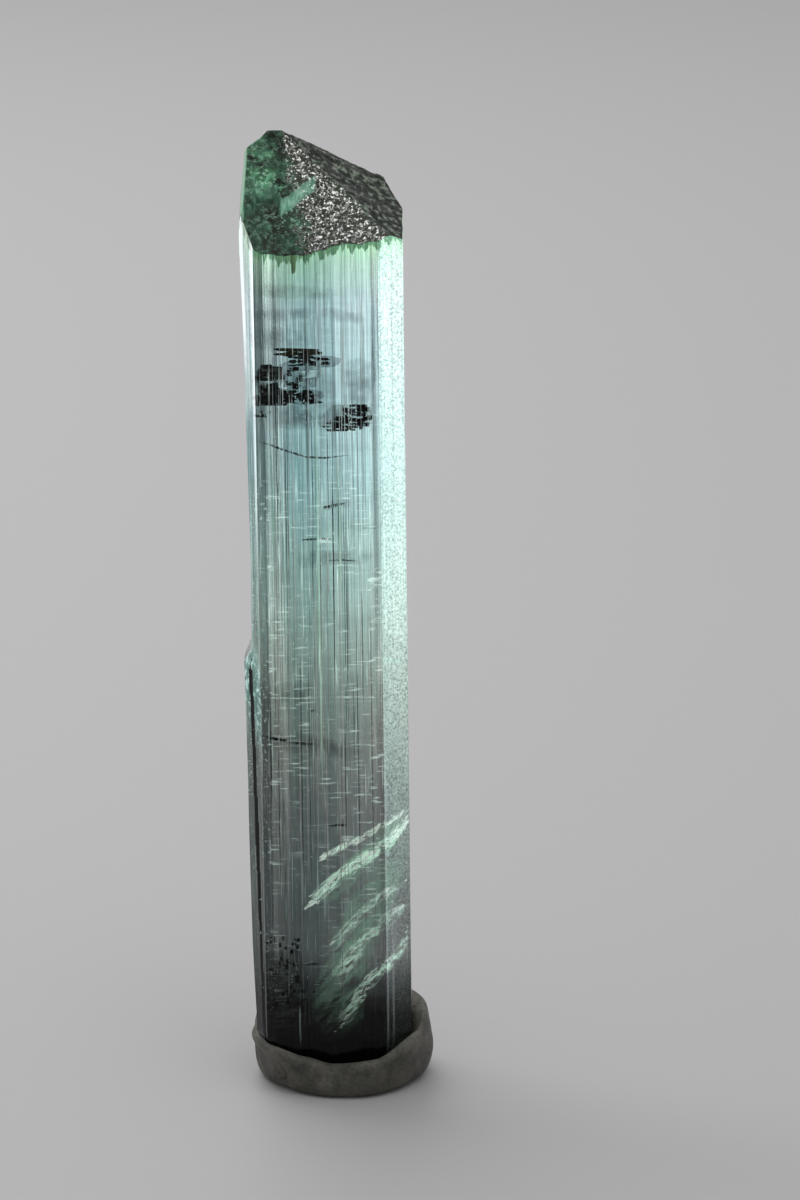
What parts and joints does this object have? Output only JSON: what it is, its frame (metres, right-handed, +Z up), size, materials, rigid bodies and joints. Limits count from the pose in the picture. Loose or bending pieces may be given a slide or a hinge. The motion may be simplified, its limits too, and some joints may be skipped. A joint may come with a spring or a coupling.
{
  "type": "tourmaline crystal",
  "caption": "Slender striated prismatic crystal with a sloping etched tip, standing upright in a small lump of grey putty.",
  "frame": {"origin": "on the ground under the middle of the object's box", "axes": "+Z up along the crystal, -Y towards the viewer of the picture, +X to the viewer's right"},
  "size_m": [0.0132, 0.0124, 0.0667],
  "materials": {
    "crystal": "see-through, vitreous, striated lengthwise, dark green etched tip, blue-green upper shaft, grey to black foot",
    "putty": "matte grey kneadable mineral putty, smooth with faint finger dents"
  },
  "bodies": {
    "root": {"crystal": "crystal", "putty": "putty"}
  },
  "joints": []
}
